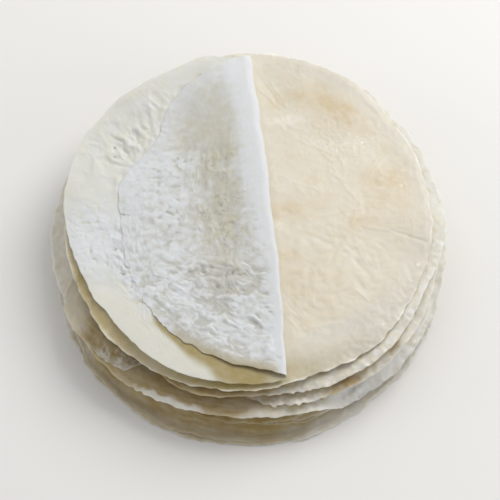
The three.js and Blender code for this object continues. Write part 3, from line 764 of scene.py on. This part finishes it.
def folded_wrapper():
    rings = even_rings(108, 0.985, 2)
    share, angle, tris = ring_grid(rings)
    count = rings[-1][1]

    def flat(share, angle, pole):
        r0 = top_outline(angle)
        torn = bell(way_off(angle, -24), 30) * (1.3 * noise(np.cos(angle) * r0 / 5.5, np.sin(angle) * r0 / 5.5, 754) + 0.7 * noise(np.cos(angle) * r0 / 2.2, np.sin(angle) * r0 / 2.2, 777))
        r = share * r0 + share**6 * (ragged(15, angle, r0, 0.7) + torn)
        u, v = r * np.cos(angle) + pole * (1 - share), r * np.sin(angle)
        return u - TOP_OFF, v, np.maximum(top_outline(np.arctan2(v, u)) - np.hypot(u, v), 0)

    def middle(u, v, depth):
        x, y, z, s = fold_plan(u, v)
        base = height(LAST, x, y) + rise(SEAT, 0, *TOP_PUFF, x, y)
        q = np.pi / 2 * fold_radius(v)
        flap = smooth((u - 0.4 * q) / (6 + 0.6 * q))
        left = smooth((-q - u) / 10)
        zf, pf, wf, vf = flap_look(x, y, s, depth)
        zl, pl, wl, gl = left_look(x, y)
        # the flap covers part of the lower half, which lies flat there
        cover = top_outline(np.arctan2(v, TOP_OFF - u)) - np.hypot(TOP_OFF - u, v)
        bare = smooth((3 - cover) / 10)
        open_to = smooth((2.5 - cover) / 3)
        edge = smooth(depth / 3)
        z = base + z + flap * zf * (0.35 + 0.65 * edge) + left * zl * (0.2 + 0.8 * bare) * (0.4 + 0.6 * edge)
        # the flap's edge: pressed on to the lumps at the back, standing up a little at the front
        close = bell(depth, 10) * smooth((y - 16) / 14)
        z = z + flap * close * 0.8 * zl - flap * 0.65 * bell(depth, 6) * np.maximum(smooth((y + 52) / 14), smooth((-8 - x) / 20)) + flap * 0.4 * bell(depth, 10) * smooth((-40 - y) / 16) * smooth((x + 22) / 20)
        z = z + flap * bell(depth, 5) * (1 - close) * (0.25 * noise(x / 14, y / 14, 751) + 0.5 * noise(x / 5, y / 5, 753) * smooth((16 - y) / 16) * smooth((-30 - x) / 12))
        # hem: the curled front edge of the flap, painted amber as light through the thin dough
        hem = flap * smooth((-52 - y) / 12) * smooth((x + 46) / 14)
        under = base + zl * (0.2 + 0.8 * smooth((3 - depth) / 10)) + FILM + 0.06
        above = z - under
        z = np.where(u > q, under + 0.5 * (above + np.sqrt(above**2 + 0.09)), z)
        z = z + 0.14 * np.exp(-depth / 4) * noise(x / 6, y / 6, 752)
        # painted glow and painted shade: an olive strip before the flap's front edge and under the flap, standing in
        # for light through the thin flap and the shade under it
        painted_glow = smooth((-48 - y) / 10)
        run = 1.2 + painted_glow * (3.6 + 5.4 * smooth((x + 42) / 14) + 16 * smooth((x + 24) / 16))
        shade = smooth((x + 30) / 12)  # where the flap keeps it in its shadow
        weight = 1.0 - 0.5 * smooth((x - 4) / 12)
        under_flap_shade = smooth(1.35 * (1 + np.minimum(cover, 0) / run)) * (0.1 * smooth((20 - y) / 20) + weight * painted_glow + (0.9 - weight * painted_glow) * smooth(cover / 3))
        # painted light: the flap's pressed back edge is lightened so its shade line fades
        wf = wf + 0.3 * close
        z = z + left * 0.8 * bell(cover + 1.2, 2.0) * (smooth((y - 16) / 14) + smooth((16 - y) / 14) * smooth((y + 50) / 12)) * np.clip(0.6 + 1.3 * noise(x / 5, y / 5, 757), 0, 1.5)
        look = {"flap": flap, "left": left, "bare": open_to, "under_flap_shade": under_flap_shade, "pf": pf, "wf": wf, "vf": vf, "hem": hem, "shade": shade, "pl": pl, "wl": wl, "gl": gl}
        return np.stack([x, y, z], 1), look

    def maps_of(look, depth, outer):
        """outer: the side that was below before the fold, so it faces up on the flap."""
        if outer:
            # painted shade on the left half's underside, and painted glow along the flap's hem
            shade_mask = np.maximum(look["left"] * (1 - np.exp(-depth / 3)), 0.66 * look["hem"] * smooth(1.1 - depth / 6.5))
            return {"blotch": 0.08 + 0.4 * look["vf"], "powder_and_highlight": look["wf"], "pit": look["pf"], "pale": 0.5 * np.exp(-depth / 2), "amber_shade": shade_mask}
        # the flap's underside and the half below under the flap: painted shade
        shade_mask = np.maximum(look["flap"], look["under_flap_shade"])
        return {"blotch": look["gl"], "powder_and_highlight": look["wl"] * look["bare"], "pit": look["pl"] * look["bare"], "pale": 0.92 - 0.4 * np.clip(look["gl"], 0, 1), "amber_shade": shade_mask * (1 - (0.6 - 0.5 * look["shade"]) * np.exp(-depth / 2))}

    def side(pole, outer):
        u, v, depth = flat(share, angle, pole)
        mid, look = middle(u, v, depth)
        half = (thickness(depth) / 2)[:, None] * normals(mid, tris)
        return u, v, mid - half if outer else mid + half, maps_of(look, depth, outer)

    u1, v1, upper, maps1 = side(-42.0, False)
    u2, v2, lower, maps2 = side(46.0, True)
    lip_angle = np.arange(count) * (2 * np.pi / count)
    lu, lv, ld = flat(np.full(count, 1 + EDGE * 0.5 / TOP_R), lip_angle, 0.0)
    lip, _ = middle(lu, lv, ld * 0)
    points = np.concatenate([upper, lip, lower])
    nu, nl = len(upper), count
    faces = np.concatenate([tris, stitch(nu - count, count, nu, count), stitch(len(points) - count, count, nu, count)[:, ::-1], (tris + nu + nl)[:, ::-1]])
    dull = smooth((lip[:, 1] + 44) / 20) * smooth(lu / 4)
    maps = {key: np.concatenate([maps1[key], (1 - dull) * maps1[key][-count:] + dull * maps2[key][-count:], maps2[key]]) for key in maps1}
    flat_u = np.concatenate([u1, lu, u2]) + TOP_OFF
    flat_v = np.concatenate([v1, lv, v2])
    at = np.concatenate([np.full(nu + nl, 0.25), np.full(nu, 0.75)])
    uv = np.stack([at + 0.243 * flat_u / 102, 0.5 + 0.486 * flat_v / 102], 1)
    return make_piece("skin_folded", points, faces, maps, uv)


# ---- materials --------------------------------------------------------------------------
def lin(r, g, b):
    def f(c):
        c /= 255
        return c / 12.92 if c <= 0.04045 else ((c + 0.055) / 1.055) ** 2.4

    return (f(r), f(g), f(b), 1.0)


def dough(name, cream, golden, pale, flour, dark, amber_shade, rough, grain):
    """Cooked dough: cream, with golden blotches, a paler dry rim, flour on top, dark little hollows (partly painted
    shade in the creases),
    and amber_shade: painted shade and painted glow of light through the skins, deeper amber where a skin lies under the
    others or faces away from the light, partly the damp dough's own deeper tone."""
    mat = bpy.data.materials.new(name)
    mat.use_nodes = True
    nt = mat.node_tree
    nt.nodes.clear()

    def node(kind, **settings):
        n = nt.nodes.new(kind)
        for k, val in settings.items():
            setattr(n, k, val)
        return n

    def link(a, b):
        nt.links.new(a, b)

    out = node("ShaderNodeOutputMaterial")
    bsdf = node("ShaderNodeBsdfPrincipled")
    link(bsdf.outputs[0], out.inputs[0])
    coord = node("ShaderNodeTexCoord").outputs["Object"]

    def tex(scale, detail, roughness=0.55, distortion=0.0):
        n = node("ShaderNodeTexNoise")
        n.inputs["Scale"].default_value = scale
        n.inputs["Detail"].default_value = detail
        n.inputs["Roughness"].default_value = roughness
        n.inputs["Distortion"].default_value = distortion
        link(coord, n.inputs["Vector"])
        return n.outputs["Fac"]

    def attr(key):
        return node("ShaderNodeAttribute", attribute_name=key, attribute_type="GEOMETRY").outputs["Fac"]

    def remap(value, lo, hi, to_lo, to_hi):
        n = node("ShaderNodeMapRange", interpolation_type="SMOOTHSTEP")
        link(value, n.inputs["Value"])
        for k, val in zip(("From Min", "From Max", "To Min", "To Max"), (lo, hi, to_lo, to_hi)):
            n.inputs[k].default_value = val
        return n.outputs["Result"]

    def times(a, b):
        n = node("ShaderNodeMath", operation="MULTIPLY", use_clamp=True)
        link(a, n.inputs[0])
        link(b, n.inputs[1])
        return n.outputs[0]

    def plus(a, b):
        n = node("ShaderNodeMath", operation="ADD")
        link(a, n.inputs[0])
        link(b, n.inputs[1])
        return n.outputs[0]

    def mix(fac, a, b):
        n = node("ShaderNodeMix", data_type="RGBA", blend_type="MIX")
        link(fac, n.inputs["Factor"])
        for sock, val in ((n.inputs[6], a), (n.inputs[7], b)):
            if isinstance(val, tuple):
                sock.default_value = val
            else:
                link(val, sock)
        return n.outputs[2]

    mottle = tex(170, 4, 0.6, 0.4)
    patches = tex(300, 6, 0.6, 0.3)
    bubbles = tex(430, 3, 0.5, 0.5)
    speck = tex(900, 3, 0.6)
    fine = tex(2300, 2, 0.5)
    # powder_and_highlight: flour, with the painted glints, the roll's painted highlight and lightened edges mixed in
    flour_on = remap(plus(attr("powder_and_highlight"), remap(patches, 0.2, 0.8, 0.37, 0.63)), 0.62, 1.45, 0.0, 1.0)
    burst = remap(plus(attr("pit"), bubbles), 0.88, 1.22, 0.0, 1.0)
    colour = mix(times(attr("blotch"), remap(mottle, 0.3, 0.7, 0.55, 1.0)), cream, golden)
    colour = mix(attr("pale"), colour, pale)
    colour = mix(flour_on, colour, flour)
    # painted shade: amber_shade warms and darkens the dough under the rims above, in the gaps and on the side away from
    # the light, standing in for shade and for light through the skins
    colour = mix(times(attr("amber_shade"), remap(mottle, 0.25, 0.75, 0.8, 1.0)), colour, amber_shade)
    colour = mix(times(burst, remap(speck, 0.25, 0.6, 0.35, 0.75)), colour, dark)
    colour = mix(remap(mottle, 0.35, 0.75, 0.0, 0.08), colour, golden)
    link(colour, bsdf.inputs["Base Color"])
    link(remap(mottle, 0.3, 0.7, rough - 0.08, rough + 0.08), bsdf.inputs["Roughness"])
    bsdf.inputs["Specular IOR Level"].default_value = 0.35
    bsdf.inputs["Subsurface Weight"].default_value = 0.3
    bsdf.inputs["Subsurface Radius"].default_value = (1.0, 0.85, 0.6)
    bsdf.inputs["Subsurface Scale"].default_value = 0.0012
    relief = node("ShaderNodeMix", data_type="FLOAT")
    relief.inputs["Factor"].default_value = 0.35
    link(speck, relief.inputs[2])
    link(fine, relief.inputs[3])
    sunk = node("ShaderNodeMath", operation="SUBTRACT")
    link(relief.outputs[0], sunk.inputs[0])
    link(burst, sunk.inputs[1])
    bump = node("ShaderNodeBump")
    bump.inputs["Strength"].default_value = grain
    bump.inputs["Distance"].default_value = 0.0003
    link(sunk.outputs[0], bump.inputs["Height"])
    link(bump.outputs[0], bsdf.inputs["Normal"])
    return mat


# painted shade colour: the deep amber of skins in the gaps and on the front, away from the light
AMBER_SHADE = lin(159, 134, 80)
# in each dough the colour after the dark one is the painted shade amber
MATERIALS = {
    "cream": dough("dough_cream", lin(226, 219, 202), lin(206, 190, 134), lin(225, 218, 204), lin(233, 231, 224), lin(160, 138, 94), AMBER_SHADE, 0.6, 0.4),
    "browned": dough("dough_browned", lin(229, 222, 206), lin(218, 200, 166), lin(219, 214, 201), lin(250, 246, 236), lin(180, 160, 120), lin(174, 155, 88), 0.42, 0.35),
    "floury": dough("dough_floury", lin(199, 199, 195), lin(208, 197, 160), lin(228, 226, 214), lin(224, 226, 227), lin(150, 148, 141), lin(164, 146, 93), 0.7, 0.8),
}

# ---- pieces -----------------------------------------------------------------------------
for i in range(len(WRAPPERS)):
    slot = "browned" if i == LAST else "cream"
    piece = flat_wrapper(i)
    piece.data.materials.append(MATERIALS[slot])
    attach(piece, "root")
    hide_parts("wrapper_%02d" % (i + 1))
piece = folded_wrapper()
piece.data.materials.append(MATERIALS["floury"])
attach(piece, "root")
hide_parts("wrapper_folded")

# ---- floor, light, camera ---------------------------------------------------------------
mesh = bpy.data.meshes.new("floor")
side = 6.0
mesh.from_pydata([(-side, -side, -0.0002), (side, -side, -0.0002), (side, side, -0.0002), (-side, side, -0.0002)], [], [(0, 1, 2, 3)])
floor = bpy.data.objects.new("floor", mesh)
bpy.context.scene.collection.objects.link(floor)
paper = bpy.data.materials.new("floor_paper")
paper.use_nodes = True
shade = paper.node_tree.nodes["Principled BSDF"]
shade.inputs["Base Color"].default_value = (0.90, 0.885, 0.86, 1)
shade.inputs["Roughness"].default_value = 0.9
shade.inputs["Specular IOR Level"].default_value = 0.1
mesh.materials.append(paper)

TARGET = Vector((0.0, -0.0045, 0.0204))


def lamp(name, direction, distance, size, power, colour):
    data = bpy.data.lights.new(name, "AREA")
    data.shape = "DISK"
    data.size = size
    data.energy = power
    data.color = colour
    ob = bpy.data.objects.new(name, data)
    d = Vector(direction).normalized()
    ob.location = TARGET + d * distance
    ob.rotation_euler = (-d).to_track_quat("-Z", "Y").to_euler()
    bpy.context.scene.collection.objects.link(ob)
    return ob


lamp("left", (-0.93, 0.05, 0.28), 1.2, 0.7, 2.0, (1.0, 0.98, 0.95))
lamp("right", (0.95, -0.25, 0.30), 1.2, 0.7, 1.8, (1.0, 0.99, 0.98))
lamp("key", (0.50, 0.48, 0.72), 1.3, 0.9, 9.6, (1.0, 0.99, 0.97))
lamp("overhead", (-0.10, 0.45, 0.89), 1.5, 1.4, 3.0, (1.0, 1.0, 1.0))
world = bpy.data.worlds.new("studio")
world.use_nodes = True
world.node_tree.nodes["Background"].inputs[0].default_value = (0.97, 0.98, 1.0, 1)
world.node_tree.nodes["Background"].inputs[1].default_value = 0.42
bpy.context.scene.world = world

ELEVATION, DISTANCE, HALF_FIELD = math.radians(63.0), 1.1, 0.13725
MM_PER_PX = HALF_FIELD / 250
toward = Vector((0.0, -math.cos(ELEVATION), math.sin(ELEVATION)))
right = Vector((1.0, 0.0, 0.0))
up = toward.cross(right)
aim = TARGET + right * (1.5 * MM_PER_PX) - up * (1.0 * MM_PER_PX)
cam_data = bpy.data.cameras.new("camera")
cam_data.sensor_width = 36.0
cam_data.lens = 18.0 / (HALF_FIELD / DISTANCE)
cam_data.clip_start, cam_data.clip_end = 0.05, 50.0
camera = bpy.data.objects.new("camera", cam_data)
camera.location = aim + toward * DISTANCE
camera.rotation_euler = (-toward).to_track_quat("-Z", "Y").to_euler()
bpy.context.scene.collection.objects.link(camera)
bpy.context.scene.camera = camera
bpy.context.scene.view_settings.view_transform = "Standard"
bpy.context.scene.view_settings.look = "None"
